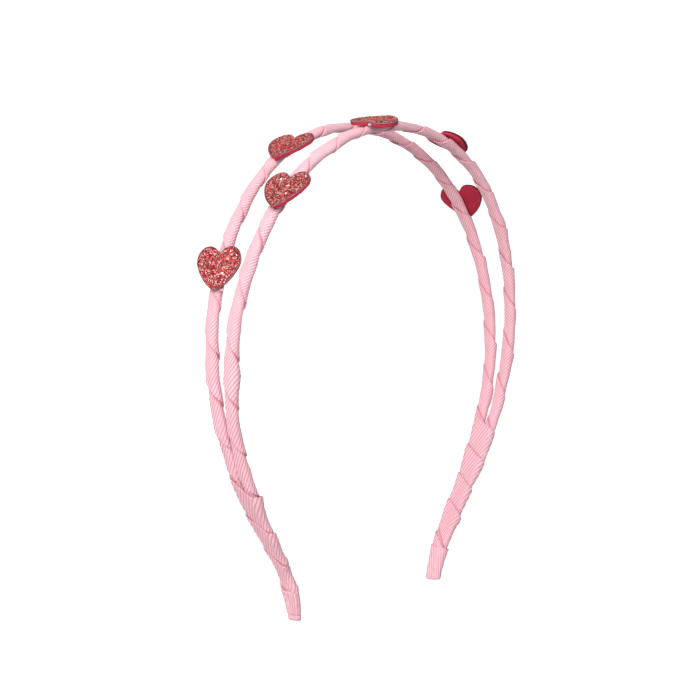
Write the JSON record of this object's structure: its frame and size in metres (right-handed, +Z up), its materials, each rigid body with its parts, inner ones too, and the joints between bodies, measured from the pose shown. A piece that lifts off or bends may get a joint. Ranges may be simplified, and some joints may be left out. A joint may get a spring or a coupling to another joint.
{
  "type": "headband",
  "caption": "Hair hoop of slim ribbon-wound bands that part over the crown and are bound together at the tips, with flat felt and glitter hearts glued along them; worn to hold hair back.",
  "frame": {"origin": "middle of the bounding box, on the surface that the hoop lies on", "axes": "+Y from the tips to the crown, +X across the head from the left tip to the right tip, +Z up off the surface, from the back band to the front band"},
  "size_m": [0.1232, 0.1472, 0.0339],
  "materials": {
    "ribbon": "matt ribbed weave",
    "felt": "matt felt",
    "glitter": "coarse glitter"
  },
  "bodies": {
    "root": {"front_band": "ribbon", "back_band": "ribbon", "left_end_winding": "ribbon", "left_tip_cap": "ribbon", "right_end_winding": "ribbon", "right_tip_cap": "ribbon", "heart_1_felt": "felt", "heart_1_glitter": "glitter", "heart_2_felt": "felt", "heart_2_glitter": "glitter", "heart_3_felt": "felt", "heart_3_glitter": "glitter", "heart_4_felt": "felt", "heart_4_glitter": "glitter", "heart_5_felt": "felt", "heart_5_glitter": "glitter", "heart_6_felt": "felt", "heart_6_glitter": "glitter"}
  },
  "joints": []
}
